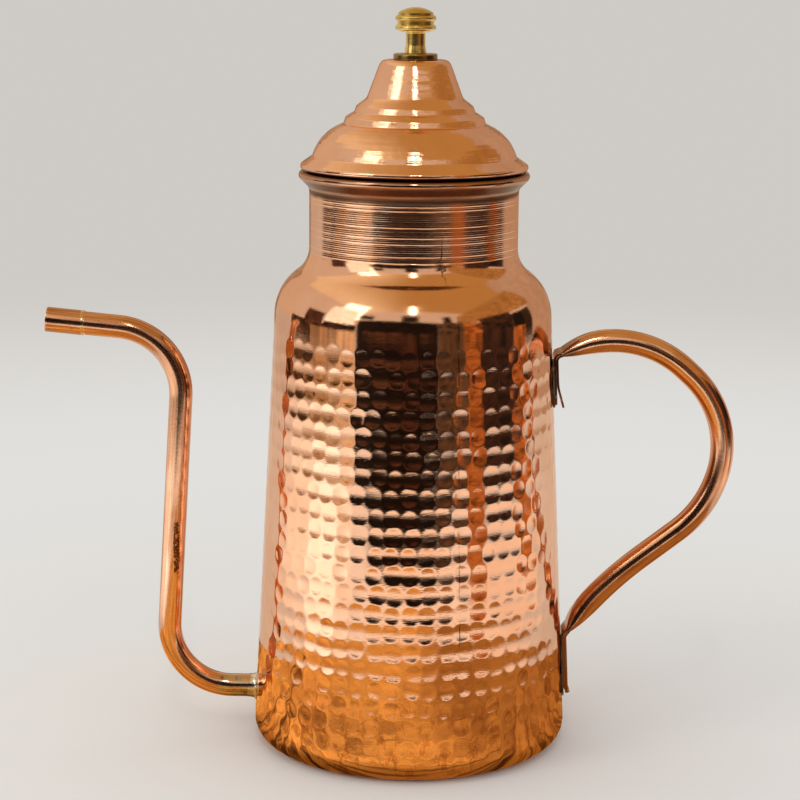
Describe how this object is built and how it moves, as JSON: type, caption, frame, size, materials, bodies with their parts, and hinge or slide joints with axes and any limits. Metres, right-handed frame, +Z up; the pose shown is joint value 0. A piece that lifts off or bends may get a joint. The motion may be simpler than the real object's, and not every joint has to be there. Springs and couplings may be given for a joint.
{
  "type": "oil pourer",
  "caption": "Hand-hammered copper oil pourer: tapered can, low gooseneck spout, bent-tube handle and a spun lift-off lid with a turned brass knob.",
  "frame": {"origin": "on the can's axis, at the surface it stands on", "axes": "+Z up along the can's axis, -X towards the spout, +X towards the handle, -Y towards the front"},
  "size_m": [0.2808, 0.129, 0.3],
  "materials": {
    "hammered_copper": "hand-hammered and polished copper, tinned inside",
    "spun_copper": "polished spun copper",
    "copper_tube": "polished copper tube with darker oxide patches",
    "knob_brass": "polished turned brass",
    "solder": "soft solder, dull silver",
    "steel_wire": "plain steel"
  },
  "bodies": {
    "vessel": {"body_shell": "hammered_copper", "base_pan": "hammered_copper", "rim_wire": "steel_wire", "spout_tube": "copper_tube", "spout_tip_sleeve": "spun_copper", "spout_solder_collar": "solder", "handle_tube": "copper_tube", "upper_handle_solder": "solder", "lower_handle_solder": "solder"},
    "lid": {"lid_dome": "spun_copper", "lid_rim_wire": "steel_wire", "lid_collar": "spun_copper", "knob": "knob_brass", "knob_washer": "knob_brass", "knob_screw": "steel_wire", "knob_inner_washer": "steel_wire"}
  },
  "joints": [
    {"name": "lid_lift", "type": "slide", "parent": "vessel", "child": "lid", "axis": [0, 0, 1], "range_m": [0, 0.05]}
  ]
}
